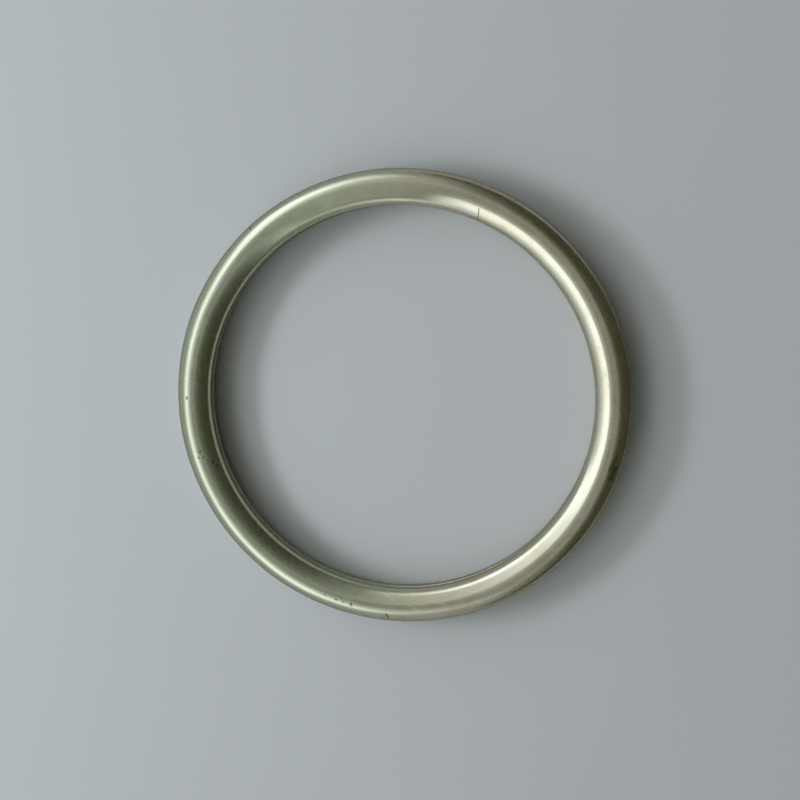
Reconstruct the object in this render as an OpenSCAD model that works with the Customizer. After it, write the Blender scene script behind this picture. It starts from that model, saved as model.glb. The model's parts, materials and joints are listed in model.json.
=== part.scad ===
// Ring gasket for the joint between an exhaust port and a header pipe.
// The ring lies on its lower seat at z = 0, with its axis on +Z. Sizes are in millimetres.

/* [Ring] */
// Inside diameter, across the bore wall
inner_d = 38; // [30:0.5:60]
// Radial width of the band, from the bore wall to the outer wall
band_w = 3.5; // [3.3:0.05:6]
// Height of the new ring, from seat to seat, before it is crushed
ring_h = 4; // [3.6:0.1:6]

/* [Rolled section] */
// Radius of the shoulders that join the seats to the bore wall
bore_shoulder_r = 1.4; // [0.8:0.05:1.6]
// Radius of the shoulders that join the seats to the outer wall
outer_shoulder_r = 1.4; // [0.8:0.05:1.6]

/* [Closing seam] */
// Radius of the two lips, where the edges of the strip turn in towards each other
seam_lip_r = 0.15; // [0.08:0.01:0.16]
// Gap that is left between the two lips, half way up the bore wall
seam_gap = 0.04; // [0.02:0.01:0.07]

/* [Hidden] */
$fn = 180;

bore_r = inner_d / 2;
outer_r = bore_r + band_w;
mid_h = ring_h / 2;
// From the middle of the ring down to the straight part of the bore wall, past one lip
lip_reach = seam_gap / 2 + seam_lip_r;

// The lower half of the section, up to the middle of the seam. Its corners are arcs, and a
// flat runs from each arc to the next without a crease.
module half_section() {
    translate([bore_r + bore_shoulder_r, bore_shoulder_r])
        circle(r = bore_shoulder_r);
    translate([outer_r - outer_shoulder_r, outer_shoulder_r])
        circle(r = outer_shoulder_r);
    translate([bore_r + seam_lip_r, mid_h - lip_reach])
        circle(r = seam_lip_r);

    // The seat, and the metal above it
    translate([bore_r + bore_shoulder_r, 0])
        square([band_w - bore_shoulder_r - outer_shoulder_r, mid_h]);
    // The outer wall
    translate([outer_r - outer_shoulder_r, outer_shoulder_r])
        square([outer_shoulder_r, mid_h - outer_shoulder_r]);
    // The bore wall, from its shoulder up to the lip
    translate([bore_r, bore_shoulder_r])
        square([bore_shoulder_r, mid_h - lip_reach - bore_shoulder_r]);
    // The closed metal behind the lip
    translate([bore_r + seam_lip_r, bore_shoulder_r])
        square([bore_shoulder_r - seam_lip_r, mid_h - bore_shoulder_r]);
}

module rolled_section() {
    half_section();
    translate([0, ring_h])
        mirror([0, 1])
            half_section();
}

module gasket_ring() {
    color("#9b9a80")
        rotate_extrude()
            rolled_section();
}

gasket_ring();
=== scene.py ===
# %% [markdown]
# An exhaust ring gasket is a crush seal. It lies in a recess of the engine's exhaust port, and the
# header pipe's collar squeezes it until the joint is tight. This one is a strip of pale gold
# metal, rolled into a tube with a flat seat above and below, and bent round into a ring.
#
# Its solid exists already, at its real size, in the frame that is loaded here. This lesson gives
# it a finer mesh, the look of satin metal with its marks, and a plain studio. The box of the solid
# is read at the start, for the ring's height.

# %% Load the frame
import json
import math

import bmesh
import bpy
from mathutils import Matrix, Vector


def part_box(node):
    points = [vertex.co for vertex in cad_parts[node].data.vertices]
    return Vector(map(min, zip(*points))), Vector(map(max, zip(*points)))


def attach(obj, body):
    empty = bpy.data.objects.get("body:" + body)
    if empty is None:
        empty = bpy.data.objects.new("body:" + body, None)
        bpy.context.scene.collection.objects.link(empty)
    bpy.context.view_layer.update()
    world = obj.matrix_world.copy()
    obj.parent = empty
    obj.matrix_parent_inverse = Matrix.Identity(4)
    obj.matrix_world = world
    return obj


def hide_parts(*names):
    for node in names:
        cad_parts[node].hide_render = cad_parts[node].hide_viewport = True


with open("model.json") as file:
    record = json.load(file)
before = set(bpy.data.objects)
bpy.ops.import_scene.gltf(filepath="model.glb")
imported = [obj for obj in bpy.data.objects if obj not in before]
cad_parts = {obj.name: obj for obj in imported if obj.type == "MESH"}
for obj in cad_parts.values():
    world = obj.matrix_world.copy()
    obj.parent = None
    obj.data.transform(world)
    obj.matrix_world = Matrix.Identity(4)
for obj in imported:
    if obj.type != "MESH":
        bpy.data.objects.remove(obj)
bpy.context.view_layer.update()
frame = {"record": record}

MM = 0.001

# %% [markdown]
# A ring gasket is described by few sizes: the bore, the width of the band, the height, and how
# round the shoulders are between the seats and the walls. They could be typed in again here, but
# then a change to the solid would leave the mesh behind. So they are read from the frame: the
# height from the ring's box, and the two walls from the mounts that were measured on the solid.
# Only the closing seam has sizes of its own: it is the line along the bore wall where the edges of
# the strip turn in and meet.

# %% Sizes of the ring
ring_low, ring_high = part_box("gasket_ring")
mounts = {mount["name"]: mount["dims"] for mount in frame["record"]["mounts"]}
bore_r = mounts["bore_wall"]["r_mm"] * MM
outer_r = mounts["outer_wall"]["r_mm"] * MM
wall_h = mounts["outer_wall"]["length_mm"] * MM
ring_h = ring_high.z - ring_low.z
band_w = outer_r - bore_r
shoulder_r = (ring_h - wall_h) / 2
seam_lip_r = 0.15 * MM
seam_gap = 0.04 * MM
print(f"bore {bore_r / MM:.2f}, band {band_w / MM:.2f}, shoulder {shoulder_r / MM:.2f} mm")

# %% [markdown]
# The photograph was taken from close by and almost from above. A ring that is seen a little from
# one side turns into an ellipse, and its near side looks larger, so the edges in the picture tell
# where the camera was: 12 degrees off the ring's axis, towards the upper right, and 12 cm away,
# aimed at the middle of the ring. A camera could be placed by eye, but here the lens follows from
# the distance and the scale, and the turn from the direction of view and the picture's up.

# %% Camera
picture_px = 800
px_per_mm = 10.146
distance = 122 * MM
tilt = math.radians(12.0)
tilt_towards = math.radians(47.3)
picture_w = picture_px / px_per_mm * MM

out_of_axis = Vector((math.cos(tilt_towards), math.sin(tilt_towards), 0))
backwards = math.sin(tilt) * out_of_axis + math.cos(tilt) * Vector((0, 0, 1))
rightwards = Vector((0, 1, 0)).cross(backwards).normalized()
upwards = backwards.cross(rightwards)

camera_data = bpy.data.cameras.new("camera")
camera_data.sensor_width = 36
camera_data.lens = camera_data.sensor_width * distance / picture_w
camera_data.clip_start = 10 * MM
camera = bpy.data.objects.new("camera", camera_data)
camera.location = Vector((0, 0, ring_h / 2)) + distance * backwards
camera.rotation_mode = "QUATERNION"
camera.rotation_quaternion = Matrix((rightwards, upwards, backwards)).transposed().to_quaternion()
bpy.context.scene.collection.objects.link(camera)
bpy.context.scene.camera = camera
print(f"lens {camera_data.lens:.1f} mm, picture {picture_w / MM:.1f} mm wide at the ring")

# %% [markdown]
# Node trees can be built by clicking, or in code by adding each node and each link. Both make a
# formula hard to read. This small class lets a formula be written as it is on paper. A wire is the
# output of a node, and each +, * or > between wires adds the Math node that works it out. The
# reflected forms, whose names start with r, are there for a plain number on the left, as in
# 1 - wire.

# %% A wire that takes operators
class Wire:
    """The output of a node, on which Python's operators add Math nodes."""

    def __init__(self, tree, socket):
        self.tree = tree
        self.socket = socket

    def out(self, name):
        """Another output of the same node."""
        return Wire(self.tree, self.socket.node.outputs[name])

    def math(self, operation, *values):
        return self.tree.node("ShaderNodeMath", {"operation": operation}, dict(enumerate(values)))

    def at_least(self, low):
        return self.math("MAXIMUM", self, low)

    def __abs__(self):
        return self.math("ABSOLUTE", self)

    def __add__(self, other):
        return self.math("ADD", self, other)

    def __radd__(self, other):
        return self.math("ADD", other, self)

    def __sub__(self, other):
        return self.math("SUBTRACT", self, other)

    def __rsub__(self, other):
        return self.math("SUBTRACT", other, self)

    def __mul__(self, other):
        return self.math("MULTIPLY", self, other)

    def __rmul__(self, other):
        return self.math("MULTIPLY", other, self)

    def __truediv__(self, other):
        return self.math("DIVIDE", self, other)

    def __rtruediv__(self, other):
        return self.math("DIVIDE", other, self)

    def __pow__(self, other):
        return self.math("POWER", self, other)

    def __gt__(self, other):
        return self.math("GREATER_THAN", self, other)

    def __lt__(self, other):
        return self.math("LESS_THAN", self, other)


print("reflected forms:", [name for name in vars(Wire) if name.startswith("__r")])

# %% [markdown]
# Every node comes from one method, the Math nodes of a formula too. It takes the node's type, its
# settings, and the values or wires that go into its sockets. The same class serves the ring's
# shape, its metal and the room, because Blender builds all three from node trees. A few short
# methods on top of it stand for what is needed again and again: a smooth step, soft noise, a mix
# of two colours, and a stretch of the ring, given by its angle.

# %% A tree that takes any node
class Tree:
    """A node tree, to which one method adds any node."""

    def __init__(self, node_tree):
        self.nodes = node_tree.nodes
        self.links = node_tree.links

    def node(self, kind, settings={}, inputs={}, output=0):
        made = self.nodes.new(kind)
        for name, value in settings.items():
            setattr(made, name, value)
        for name, value in inputs.items():
            if isinstance(value, Wire):
                self.links.new(value.socket, made.inputs[name])
            else:
                made.inputs[name].default_value = value
        return Wire(self, made.outputs[output]) if made.outputs else None

    def parts(self, vector):
        """The X, Y and Z of a vector wire."""
        x = self.node("ShaderNodeSeparateXYZ", {}, {"Vector": vector})
        return x, x.out("Y"), x.out("Z")

    def vector(self, x=0.0, y=0.0, z=0.0):
        return self.node("ShaderNodeCombineXYZ", {}, {"X": x, "Y": y, "Z": z})

    def step(self, value, low, high):
        """0 below low, 1 above high, and a smooth rise between them."""
        ranges = {"Value": value, "From Min": low, "From Max": high}
        return self.node("ShaderNodeMapRange", {"interpolation_type": "SMOOTHSTEP"}, ranges)

    def noise(self, vector, size, seed, detail=2.0, roughness=0.5):
        """Soft noise from 0 to 1 whose lumps are about size across."""
        sockets = {"Vector": vector, "W": seed, "Scale": 1 / size, "Detail": detail}
        sockets["Roughness"] = roughness
        return self.node("ShaderNodeTexNoise", {"noise_dimensions": "4D"}, sockets)

    def mix(self, share, under, over):
        """The colour under, with that share of the colour over."""
        return self.node("ShaderNodeMix", {"data_type": "RGBA"}, {0: share, 6: under, 7: over}, 2)

    def stretch(self, x, y, middle, half, fade):
        """1 on a stretch of the ring round the angle middle, in degrees, and 0 past its ends."""
        turn = math.radians(middle)
        facing = (x * math.cos(turn) + y * math.sin(turn)) / (x * x + y * y) ** 0.5
        return self.step(facing, math.cos(math.radians(half + fade)), math.cos(math.radians(half)))


print("ready-made helpers:", [name for name in vars(Tree) if not name.startswith("_")])

# %% [markdown]
# The ring is the same section all the way round, so its shape follows a rule, and Geometry Nodes
# can make it from a few sizes: draw the section, sweep it round a circle, press the upper face and
# let the skin settle. A Screw modifier would do the sweep as well, but in one tree every size
# stays a named input that can be tried out later.

# %% Inputs of the ring's tree
ring_group = bpy.data.node_groups.new("rolled_ring", "GeometryNodeTree")
ring_group.interface.new_socket("Geometry", in_out="OUTPUT", socket_type="NodeSocketGeometry")
ring_tree = Tree(ring_group)

metal = bpy.data.materials.new("satin_pale_gold")
ring_inputs = {
    "Bore Radius": ("NodeSocketFloat", bore_r),
    "Band Width": ("NodeSocketFloat", band_w),
    "Ring Height": ("NodeSocketFloat", ring_h),
    "Shoulder Radius": ("NodeSocketFloat", shoulder_r),
    "Seam Lip Radius": ("NodeSocketFloat", seam_lip_r),
    "Seam Gap": ("NodeSocketFloat", seam_gap),
    "Full Bend": ("NodeSocketFloat", 0.3075 * MM),
    "Thin Bend": ("NodeSocketFloat", 0.735 * MM),
    "Pressed Bend": ("NodeSocketFloat", 0.5925 * MM),
    "Fall": ("NodeSocketFloat", 0.24),
    "Lean": ("NodeSocketFloat", 0.33),
    "Settling": ("NodeSocketFloat", 0.05 * MM),
    "Settling Size": ("NodeSocketFloat", 7 * MM),
    "Settling Seed": ("NodeSocketFloat", 4.0),
    "Steps Round": ("NodeSocketInt", 640),
    "Steps On Shoulder": ("NodeSocketInt", 20),
    "Metal": ("NodeSocketMaterial", metal),
}
for name, (kind, value) in ring_inputs.items():
    ring_group.interface.new_socket(name, in_out="INPUT", socket_type=kind)
entry = ring_tree.node("NodeGroupInput")
print("inputs:", ", ".join(ring_inputs))

# %% [markdown]
# The section starts as a plain rectangle. Cutting each side in five gives four more points on the
# bore side, and those on the other sides are taken away again. The two corners and the four points
# of the bore side are told apart by where they lie.

# %% Points of the section
width = entry.out("Band Width")
height = entry.out("Ring Height")
lip = entry.out("Seam Lip Radius")
gap = entry.out("Seam Gap")

rectangle = ring_tree.node(
    "GeometryNodeCurvePrimitiveQuadrilateral", {}, {"Width": width, "Height": height})
cut = ring_tree.node("GeometryNodeSubdivideCurve", {}, {"Curve": rectangle, "Cuts": 4})
x, y, z = ring_tree.parts(ring_tree.node("GeometryNodeInputPosition"))
corner = (abs(x) > width * 0.49) * (abs(y) > height * 0.49)
bore_side = x < width * -0.49
spare = (1 - corner) * (1 - bore_side)
outline = ring_tree.node(
    "GeometryNodeDeleteGeometry", {"domain": "POINT"}, {"Geometry": cut, "Selection": spare})
mouth = bore_side * (1 - corner) * (abs(y) > height * 0.2)
root = bore_side * (1 - corner) * (1 - mouth)
print("nodes for the points:", len(ring_group.nodes))

# %% [markdown]
# Two of the four points on the bore side become the mouth of the seam, and two its root, a lip's
# radius inside the metal. Fillet Curve then rounds each point by a radius of its own: large at the
# corners, small at the mouth, none at the root. The radius is stored on the points before they
# move, because afterwards the mouth and the root can no longer be told apart by their height.

# %% Round the section and close its seam
radius = corner * entry.out("Shoulder Radius") + mouth * lip
outline = ring_tree.node(
    "GeometryNodeStoreNamedAttribute", {"data_type": "FLOAT", "domain": "POINT"},
    {"Geometry": outline, "Name": "radius", "Value": radius})

half_gap = y.math("SIGN", y) * gap / 2
seam_point = ring_tree.vector(width / -2 + root * lip, half_gap)
moved = {"Geometry": outline, "Selection": mouth + root, "Position": seam_point}
outline = ring_tree.node("GeometryNodeSetPosition", {}, moved)

kept_radius = ring_tree.node(
    "GeometryNodeInputNamedAttribute", {"data_type": "FLOAT"}, {"Name": "radius"})
rounding = {"Curve": outline, "Count": entry.out("Steps On Shoulder"), "Radius": kept_radius}
section = ring_tree.node("GeometryNodeFilletCurve", {"mode": "POLY"}, rounding)
print("nodes with the section:", len(ring_group.nodes))

# %% [markdown]
# The section is swept round a circle through its middle. Curve to Mesh does that in one node, once
# the circle's normals point up, so that the section stands upright all the way round.

# %% Sweep the section round
middle_r = entry.out("Bore Radius") + width / 2
circle = {"Resolution": entry.out("Steps Round"), "Radius": middle_r}
path = ring_tree.node("GeometryNodeCurvePrimitiveCircle", {"mode": "RADIUS"}, circle)
path = ring_tree.node("GeometryNodeSetCurveNormal", {"mode": "Z_UP"}, {"Curve": path})
swept = ring_tree.node("GeometryNodeCurveToMesh", {}, {"Curve": path, "Profile Curve": section})
lifted = {"Geometry": swept, "Offset": ring_tree.vector(z=height / 2)}
swept = ring_tree.node("GeometryNodeSetPosition", {}, lifted)
print("nodes with the sweep:", len(ring_group.nodes))

# %% [markdown]
# The highlight on the real ring tells that its upper face is not the same all the way round. Over
# most of the ring the face is full: it falls in a curve from the middle of the band down to a
# small round edge at the bore. Near the top it is thin, with a flat seat as far as a tight bend at
# the bore. At the lower right it was pressed, until the seat leans inwards. On the left half the
# outer shoulder is rounder too, and leaves no flat. Each form gets a share from 0 to 1 that
# follows the angle round the ring. The thin stretch ends more softly on its left than on its
# right, so it is made of two stretches that overlap.

# %% Shares of the upper face
x, y, z = ring_tree.parts(ring_tree.node("GeometryNodeInputPosition"))
reach = (x * x + y * y) ** 0.5
thin = ring_tree.stretch(x, y, 130, 40, 20) * ring_tree.stretch(x, y, 67, 40, 34)
pressed = ring_tree.stretch(x, y, 303, 18, 26)
full = (1 - thin - pressed).at_least(0)
rounder = ring_tree.stretch(x, y, 213, 62, 26)
print("nodes with the shares:", len(ring_group.nodes))

# %% [markdown]
# The height of each point of the upper face follows from its depth, which is how far it lies
# behind the bore wall. A round bend is a quarter of a circle, so how far it drops below the seat
# follows from its radius. Each point goes up or down by the difference between the old bend's drop
# and the new one's. That keeps the mesh whole, and no point rises over the true height.

# %% Bend both shoulders of the upper face
def bend_drop(bend, behind):
    """How far a round bend of that radius lies below the seat, so far behind its wall."""
    short = (bend - behind).at_least(0)
    return bend - (bend * bend - short * short) ** 0.5


shoulder = entry.out("Shoulder Radius")
depth = (reach - entry.out("Bore Radius")).at_least(0)
from_outside = (width - depth).at_least(0)
inner_bend = full * entry.out("Full Bend") + thin * entry.out("Thin Bend")
inner_bend = inner_bend + pressed * entry.out("Pressed Bend")
outer_bend = shoulder + rounder * (width * 0.49 - shoulder)
inner_shift = bend_drop(shoulder, depth) - bend_drop(inner_bend, depth)
outer_shift = bend_drop(shoulder, from_outside) - bend_drop(outer_bend, from_outside)
print("nodes with the bends:", len(ring_group.nodes))

# %% [markdown]
# The full and the pressed form also fall towards the bore. The full one falls in a curve, so its
# drop grows with the square of the way from the middle of the band. The pressed one leans evenly,
# after a short curve at its start. Only the upper part of the mesh moves, so the walls stay
# straight.

# %% Let the upper face fall towards the bore
run_in = 0.25 * MM
from_middle = (width * 0.56 - depth).at_least(0)
fall = full * entry.out("Fall") * from_middle * from_middle / MM
from_seat = (width * 0.52 - depth).at_least(0)
lean = pressed * entry.out("Lean") * from_seat * from_seat / (from_seat + run_in)

shift = inner_shift + outer_shift - lean - fall
upper = ring_tree.step(z, height * 0.55, height * 0.65)
raised = {"Geometry": swept, "Offset": ring_tree.vector(z=shift * upper)}
uneven = ring_tree.node("GeometryNodeSetPosition", {}, raised)
print("nodes with the pressing:", len(ring_group.nodes))

# %% [markdown]
# A ring that was rolled from thin strip is never quite true, so the whole skin is then let in by a
# noise of soft lumps a few millimetres long, by 0.05 mm at most and never outwards. It can't be
# seen as a shape, but it makes the reflections waver as they do on the real ring. The noise has a
# fixed seed, so the ring is the same on every run. Realize Instances and Set Material end the
# tree, because an export keeps real faces only.

# %% Let the skin settle
place = ring_tree.node("GeometryNodeInputPosition")
lumps = ring_tree.noise(place, entry.out("Settling Size"), entry.out("Settling Seed"), detail=1.0)
inwards = {0: ring_tree.node("GeometryNodeInputNormal"), "Scale": lumps * entry.out("Settling") * -1}
offset = ring_tree.node("ShaderNodeVectorMath", {"operation": "SCALE"}, inwards)
settled = ring_tree.node("GeometryNodeSetPosition", {}, {"Geometry": uneven, "Offset": offset})

smooth = ring_tree.node("GeometryNodeSetShadeSmooth", {}, {"Geometry": settled})
real = ring_tree.node("GeometryNodeRealizeInstances", {}, {"Geometry": smooth})
painted = {"Geometry": real, "Material": entry.out("Metal")}
finished = ring_tree.node("GeometryNodeSetMaterial", {}, painted)
ring_tree.node("NodeGroupOutput", {}, {"Geometry": finished})
print("nodes in the whole tree:", len(ring_group.nodes))

# %% [markdown]
# The tree is run by a modifier on an empty mesh. A modifier knows its inputs by the identifiers of
# their sockets, so each value is set by that. The finished ring is then copied out as a plain
# mesh: it no longer needs the tree, and its object sits at the origin, where the frame expects it.

# %% Make the ring a plain mesh
maker = bpy.data.objects.new("ring_maker", bpy.data.meshes.new("ring_maker"))
bpy.context.scene.collection.objects.link(maker)
modifier = maker.modifiers.new("rolled_ring", "NODES")
modifier.node_group = ring_group
for item in ring_group.interface.items_tree:
    if item.in_out == "INPUT":
        modifier[item.identifier] = ring_inputs[item.name][1]

depsgraph = bpy.context.evaluated_depsgraph_get()
ring_mesh = bpy.data.meshes.new_from_object(maker.evaluated_get(depsgraph))
ring_mesh.name = "rolled_ring"
bpy.data.objects.remove(maker)
ring = bpy.data.objects.new("rolled_ring", ring_mesh)
bpy.context.scene.collection.objects.link(ring)
print("points in the mesh:", len(ring_mesh.vertices))

# %% [markdown]
# Two things are worth a check on any swept shape: that it closed without doubled points, and that
# its faces point outwards. Points that lie on each other are merged, and the number of open edges
# tells whether a gap is left. The volume tells the second, because it comes out negative when the
# faces point inwards.

# %% Weld the points and turn the faces outwards
shape = bmesh.new()
shape.from_mesh(ring_mesh)
bmesh.ops.remove_doubles(shape, verts=shape.verts, dist=0.001 * MM)
bmesh.ops.recalc_face_normals(shape, faces=shape.faces)
if shape.calc_volume(signed=True) < 0:
    bmesh.ops.reverse_faces(shape, faces=shape.faces)
open_edges = sum(not edge.is_manifold for edge in shape.edges)
print(f"{len(shape.faces)} faces, {open_edges} open edges,"
      f" {shape.calc_volume() / MM ** 3:.1f} cubic mm")
shape.to_mesh(ring_mesh)
shape.free()

# %% [markdown]
# The metal's patterns have to stay where they are when the ring is seen from another side, so they
# are read from the object's own coordinates, which here are the real places in metres. The reach
# is how far a point lies from the ring's axis.

# %% Coordinates on the metal
metal.use_nodes = True
metal.node_tree.nodes.clear()
skin = Tree(metal.node_tree)
where = skin.node("ShaderNodeTexCoord").out("Object")
x, y, z = skin.parts(where)
reach = (x * x + y * y) ** 0.5
on_top = z > ring_h * 0.5
print("nodes for the coordinates:", len(metal.node_tree.nodes))

# %% [markdown]
# The metal is a pale gold, as brass-plated or tin-bronze strip is. Rolling leaves a satin skin: it
# mirrors its surroundings, but softly. A single colour would look like plastic, so the skin is a
# little warmer in soft patches of a few millimetres, and handling leaves small olive stains of
# about a millimetre. On the left half a faint green tint is painted into the colour, for the
# greenish cast of the light on that side, and it fades towards the middle.

# %% Patches, painted light tint and stains
pale_gold = (0.60, 0.57, 0.465, 1)
warm_gold = (0.555, 0.52, 0.385, 1)
painted_cool_light_tint = (0.43, 0.49, 0.355, 1)
olive = (0.34, 0.35, 0.22, 1)

patches = skin.noise(where, 3 * MM, seed=1.0, detail=3.0)
stains = skin.noise(where, 1.6 * MM, seed=5.0, detail=5.0, roughness=0.65)
stained = skin.step(stains, 0.54, 0.74)
# Painted light: the left half is tinted green for the greenish light that falls on it, fading out by
# the middle.
painted_cool_light_share = 1 - skin.step(x, -9 * MM, 6 * MM)
colour = skin.mix(skin.step(patches, 0.35, 0.7), pale_gold, warm_gold)
colour = skin.mix(0.6 * painted_cool_light_share, colour, painted_cool_light_tint)
colour = skin.mix(0.3 * stained, colour, olive)
print("nodes with the patches:", len(metal.node_tree.nodes))

# %% [markdown]
# Two bumps are laid over the skin. One is an even grain a tenth of a millimetre across. The other
# is the fine lines that the rolls left along the strip: the same kind of noise, but drawn out
# round the ring. It is read at a point that goes round a small circle as the skin goes round the
# large one, so that each lump becomes twenty times as long as it is wide and no joint shows. The
# reach stands in for the seed, so that the lines differ across the band as well.

# %% Grain and rolling lines
grain = skin.noise(where, 0.1 * MM, seed=3.0, detail=2.0)
drawn_out = 20
small_r = (bore_r + band_w / 2) / drawn_out
round_small = skin.vector(x / reach * small_r, y / reach * small_r, z)
lines = skin.noise(round_small, 0.13 * MM, seed=reach, detail=2.0)
relief = 0.6 * grain + lines
print(f"the lines are read on a circle of {small_r / MM:.2f} mm")

# %% [markdown]
# The marks are the ones that the photograph shows. Each is a short line, or a dot if its ends are
# close together, given by the angle and the radius of both ends on the ring. They could be painted
# on an image, but one function works for all and stays sharp: it finds the nearest point of the
# line and fades with the distance from it.

# %% One mark
def on_ring(degrees, radius):
    """The place on the plan at that angle and that radius in millimetres."""
    turn = math.radians(degrees)
    return Vector((radius * MM * math.cos(turn), radius * MM * math.sin(turn), 0))


def mark(start, end, across):
    """1 on the line between two places on the upper face, and 0 at its width and beyond."""
    run = on_ring(*end) - on_ring(*start)
    plan = skin.vector(x, y)
    kind = "ShaderNodeVectorMath"
    from_start = skin.node(kind, {"operation": "SUBTRACT"}, {0: plan, 1: on_ring(*start)})
    ahead = skin.node(kind, {"operation": "DOT_PRODUCT"}, {0: from_start, 1: run}, 1)
    share = skin.node("ShaderNodeMapRange", {}, {"Value": ahead, "From Max": run.length_squared})
    nearest = skin.node(kind, {"operation": "SCALE"}, {0: run, "Scale": share})
    away = skin.node(kind, {"operation": "DISTANCE"}, {0: from_start, 1: nearest}, 1)
    return (1 - skin.step(away, across * MM * 0.2, across * MM * 0.8)) * on_top


print("the joint's mark starts at", [round(side / MM, 1) for side in on_ring(66.6, 19.2)[:2]], "mm")

# %% [markdown]
# Dark marks are dents and pits that hold dirt, and pale ones are scratches down to clean metal.
# The first dark one is the thin line where the ends of the strip were joined, and the last two are
# the dark patch on the right. Each row holds the angle and the radius of both ends, in degrees and
# millimetres, and the width.

# %% Dents, pits and scratches
dark_marks = [
    ((66.6, 19.2), (67.4, 20.2), 0.08),
    ((267.0, 21.45), (267.5, 21.80), 0.20),
    ((257.2, 20.95), (257.3, 21.05), 0.30),
    ((249.5, 20.95), (249.7, 20.95), 0.14),
    ((252.8, 21.00), (253.1, 20.95), 0.16),
    ((254.8, 20.95), (255.0, 21.00), 0.12),
    ((195.0, 20.55), (195.3, 20.65), 0.26),
    ((196.5, 20.90), (196.7, 20.95), 0.18),
    ((196.8, 20.45), (197.1, 20.50), 0.18),
    ((198.8, 19.75), (199.2, 19.70), 0.26),
    ((200.2, 19.50), (200.6, 19.55), 0.20),
    ((179.8, 21.10), (180.1, 21.15), 0.24),
    ((130.8, 21.95), (131.0, 22.30), 0.12),
    ((341.5, 21.65), (344.5, 21.78), 0.50),
    ((343.5, 21.42), (347.0, 21.62), 0.36),
]
pale_marks = [
    ((266.2, 19.40), (270.5, 20.30), 0.08),
    ((272.0, 20.20), (276.5, 21.00), 0.08),
    ((285.8, 19.40), (294.2, 20.50), 0.10),
    ((280.0, 20.10), (283.5, 20.70), 0.07),
]
dark = 0
for start, end, across in dark_marks:
    dark = mark(start, end, across).at_least(dark)
pale = 0
for start, end, across in pale_marks:
    pale = mark(start, end, across).at_least(pale)
print(f"{len(dark_marks)} dark marks and {len(pale_marks)} pale ones")

# %% [markdown]
# One mark is too long for a straight line: a score on the outer shoulder that follows the ring for
# a sixteenth of a turn, dark, with a paler band of colour beside it. It is a thin band of radius,
# kept to that stretch of the ring.

# %% The score on the outer shoulder
scored = skin.stretch(x, y, 28, 6, 5) * on_top
score = scored * (1 - skin.step(abs(reach - 21.45 * MM), 0.03 * MM, 0.14 * MM))
paler_band_by_score = scored * (1 - skin.step(abs(reach - 21.75 * MM), 0.03 * MM, 0.12 * MM))
dark = dark.at_least(0.7 * score)
pale = pale.at_least(0.5 * paler_band_by_score)
print("nodes with all the marks:", len(metal.node_tree.nodes))

# %% [markdown]
# All of it meets in one shader. Every value that varies feeds the colour, the roughness or the
# bump, and nothing else, because those can be baked when the model is exported. The skin is duller
# where it was rubbed and where dirt lies. Metal also has a thin film that takes light away where
# it is seen at a low angle. Specular Tint stands for that: it is the same all over, so it is set
# on the shader itself, and it gives the ring the dark outline that it has in the photograph.

# %% Satin skin
dirt = (0.10, 0.10, 0.06, 1)
clean = (0.72, 0.70, 0.56, 1)
low_angle_tint = (0.55, 0.54, 0.42, 1)

colour = skin.mix(0.8 * dark, colour, dirt)
colour = skin.mix(0.5 * pale, colour, clean)
rub = skin.noise(where, 1.2 * MM, seed=2.0, detail=4.0)
roughness = 0.23 + 0.08 * rub + 0.06 * stained + 0.2 * dark
relief = relief - 4 * dark + 2 * pale
bump = skin.node("ShaderNodeBump", {}, {"Height": relief, "Strength": 0.2, "Distance": 0.01 * MM})

surface = {"Base Color": colour, "Metallic": 1.0, "Roughness": roughness, "Normal": bump}
surface["Specular Tint"] = low_angle_tint
surface = skin.node("ShaderNodeBsdfPrincipled", {}, surface)
skin.node("ShaderNodeOutputMaterial", {}, {"Surface": surface})
print("nodes in the metal:", len(metal.node_tree.nodes))

# %% [markdown]
# Now the studio. The floor is a plain pale board, large enough to reach the horizon of a low
# camera. The dark boards further down are made the same way, from points and faces in one matt
# colour, so one function makes them all.

# %% Matt boards and the floor
def matt_board(name, points, faces, colour):
    """A thin board of the stage in one plain matt colour."""
    material = bpy.data.materials.new(name)
    material.use_nodes = True
    matt = material.node_tree.nodes["Principled BSDF"]
    matt.inputs["Base Color"].default_value = colour
    matt.inputs["Roughness"].default_value = 0.9
    mesh = bpy.data.meshes.new(name)
    mesh.from_pydata(points, [], faces)
    mesh.materials.append(material)
    made = bpy.data.objects.new(name, mesh)
    bpy.context.scene.collection.objects.link(made)
    return made


pale_grey = (0.437, 0.443, 0.437, 1)
floor_reach = 2.5
corners = [(-floor_reach, -floor_reach, 0), (floor_reach, -floor_reach, 0),
           (floor_reach, floor_reach, 0), (-floor_reach, floor_reach, 0)]
floor = matt_board("floor", corners, [(0, 1, 2, 3)], pale_grey)
print(f"the floor is {2 * floor_reach:.0f} m wide")

# %% [markdown]
# Polished metal shows its surroundings more than its own colour, so the light is placed by what
# the photograph's highlights reflect. A soft box is given here by its direction, its size and its
# glow, where 1 would show as white. Its power follows from the glow and the area, so a box can
# grow without the ring turning brighter where it mirrors it.

# %% Soft boxes
def towards(degrees, up, far):
    """The point that lies far away at that angle round the ring and that many degrees up."""
    turn, rise = math.radians(degrees), math.radians(up)
    flat = math.cos(rise)
    return far * Vector((flat * math.cos(turn), flat * math.sin(turn), math.sin(rise)))


def soft_box(name, centre, width, height, glow, colour):
    """A rectangular lamp at centre that faces the ring."""
    data = bpy.data.lights.new(name, "AREA")
    data.shape = "RECTANGLE"
    data.size = width
    data.size_y = height
    data.energy = glow * math.pi * width * height
    data.color = colour
    lamp = bpy.data.objects.new(name, data)
    lamp.location = centre
    lamp.rotation_mode = "QUATERNION"
    lamp.rotation_quaternion = (-centre).to_track_quat("-Z", "Y")
    lamp.visible_camera = False
    bpy.context.scene.collection.objects.link(lamp)
    return lamp


print("straight up, 1 m away:", [round(side, 2) for side in towards(0, 90, 1)])

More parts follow.
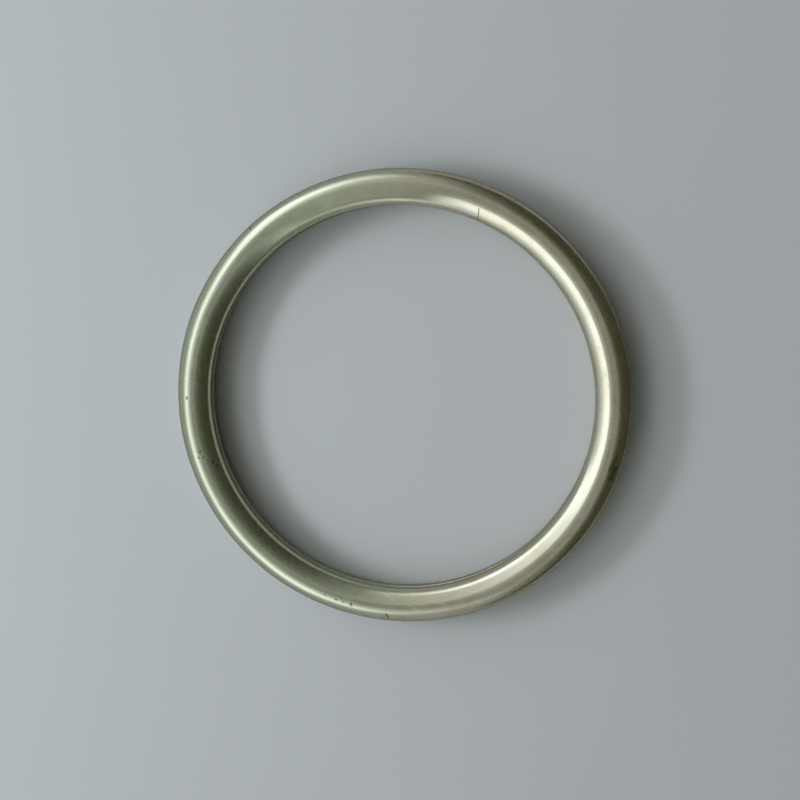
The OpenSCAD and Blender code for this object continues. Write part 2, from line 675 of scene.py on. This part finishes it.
# %% [markdown]
# The main light is one large soft window on the left, about 49 degrees up, with a wide haze of
# light round it that softens the edges of the highlights. A second window reaches further round
# towards the top of the picture and sits lower, and a dim one stands at the other end. The shadows
# in the photograph are firmer than such large lights cast, so a small strong lamp stands on the
# left too. It lights the floor only: the metal doesn't mirror it, and its highlights stay soft.

# %% Windows and the shadow's lamp
daylight = (0.93, 1.0, 1.10)
soft_box("window", towards(186, 49, 0.5), 1.2, 0.29, 1.1, daylight)
soft_box("window_haze", towards(189, 47, 0.52), 1.5, 0.54, 0.36, daylight)
soft_box("side_window", towards(126, 31, 0.6), 0.46, 0.34, 0.75, daylight)
soft_box("end_window", towards(252, 53, 0.55), 0.30, 0.2, 0.26, daylight)
shadow_lamp = soft_box("shadow_lamp", towards(176, 33, 0.25), 0.104, 0.034, 26, daylight)
shadow_lamp.visible_glossy = False

# %% [markdown]
# The right half of the ring is dark in the photograph, because it faces the unlit side of a room.
# A studio gets that with a flag, a dark screen that stands beside the object and is seen only as a
# reflection. This function bends a board round the right side of the ring, from rows that each
# give a distance and a height. With an opening above 0, its ends stand further away than its
# middle. The camera doesn't see such a board.

# %% Boards bent round the right side
right_side = 6
umber = (0.055, 0.05, 0.025, 1)


def bent_board(name, rows, half_turn, opening, steps=24):
    """A board bent round the right side, through rows of distance and height, that opens out."""
    points = []
    for far, up in rows:
        for step in range(steps + 1):
            side = 2 * step / steps - 1
            turn = math.radians(right_side + half_turn * side)
            away = far * (1 + opening * side * side)
            points.append((away * math.cos(turn), away * math.sin(turn), up))
    faces = []
    for step in range(steps):
        above = step + steps + 1
        faces.append((step, above, above + 1, step + 1))
    made = matt_board(name, points, faces, umber)
    made.visible_camera = False
    return made


print(f"the boards' middle stands {right_side} degrees round the ring")

# %% [markdown]
# The screen is half a metre high, goes half way round, and leans in overhead like half a tent. The
# card is a strip of 8 mm close to the ring, which darkens what the lowest part of the right wall
# mirrors, as the shade between the ring and its ground does on the real one. It is there for the
# metal only, so it casts no shadow and takes no light from the floor.

# %% Dark screen and card
screen = bent_board("dark_screen", [(0.50, 0.0), (0.12, 0.50)], 90, 0)
card = bent_board("dark_card", [(0.0262, 0.0), (0.0282, 0.008)], 80, 0.8)
card.visible_diffuse = False
card.visible_shadow = False
print("boards:", screen.name, "and", card.name)

# %% [markdown]
# A screen that ends at once would draw a hard line across the ring where its reflection ends. So
# its paint fades to the pale of the room towards both ends, and a little towards its upper edge.
# The fade follows the angle round the ring, with the same method that made the ring's stretches.

# %% The screen's fading paint
room_pale = (0.85, 0.85, 0.82, 1)
screen_dark = (0.135, 0.125, 0.07, 1)
paint = Tree(screen.data.materials[0].node_tree)
x, y, z = paint.parts(paint.node("ShaderNodeTexCoord").out("Object"))
darkness = paint.stretch(x, y, right_side, 52, 38) * (1 - 0.35 * paint.step(z, 0.3, 0.5))
shade = paint.mix(darkness, room_pale, screen_dark)
paint.links.new(shade.socket, paint.nodes["Principled BSDF"].inputs["Base Color"])
print("nodes in the paint:", len(paint.nodes))

# %% [markdown]
# The rest of the surroundings is the world: a pale grey that fills the shadows and is also the
# background. The flat seat mirrors what is straight overhead, so the ceiling matters most. It is
# pale on the left and dim on the right, as the seats in the photograph tell, with one dark patch
# high on the left. The background's strength stays 1, so each colour shows as it is written.

# %% World
walls = (0.40, 0.44, 0.42, 1)
pale_ceiling = (0.57, 0.585, 0.53, 1)
dim_ceiling = (0.245, 0.25, 0.22, 1)
dark_patch = (0.07, 0.07, 0.045, 1)

world = bpy.data.worlds.new("room")
bpy.context.scene.world = world
world.use_nodes = True
world.node_tree.nodes.clear()
room = Tree(world.node_tree)
dx, dy, dz = room.parts(room.node("ShaderNodeTexCoord").out("Generated"))
ceiling = room.mix(room.step(dx, -0.15, 0.1), pale_ceiling, dim_ceiling)
room_colour = room.mix(room.step(dz, 0.4, 0.95), walls, ceiling)
patch_at = towards(206, 71, 1)
near_patch = dx * patch_at.x + dy * patch_at.y + dz * patch_at.z
room_colour = room.mix(room.step(near_patch, 0.96, 0.992), room_colour, dark_patch)
background = room.node("ShaderNodeBackground", {}, {"Color": room_colour})
room.node("ShaderNodeOutputWorld", {}, {"Surface": background})
bpy.context.scene.view_settings.view_transform = "Standard"
print("nodes in the world:", len(world.node_tree.nodes))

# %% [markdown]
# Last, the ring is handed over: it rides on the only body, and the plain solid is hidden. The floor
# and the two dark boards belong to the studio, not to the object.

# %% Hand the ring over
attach(ring, "root")
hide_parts("gasket_ring")
print("handed over:", ring.name)

# %% [markdown]
# A dressed part has to keep its true size. The settling lets the skin in by a few hundredths of a
# millimetre, so the ring comes out that much smaller and never larger.

# %% [markdown]
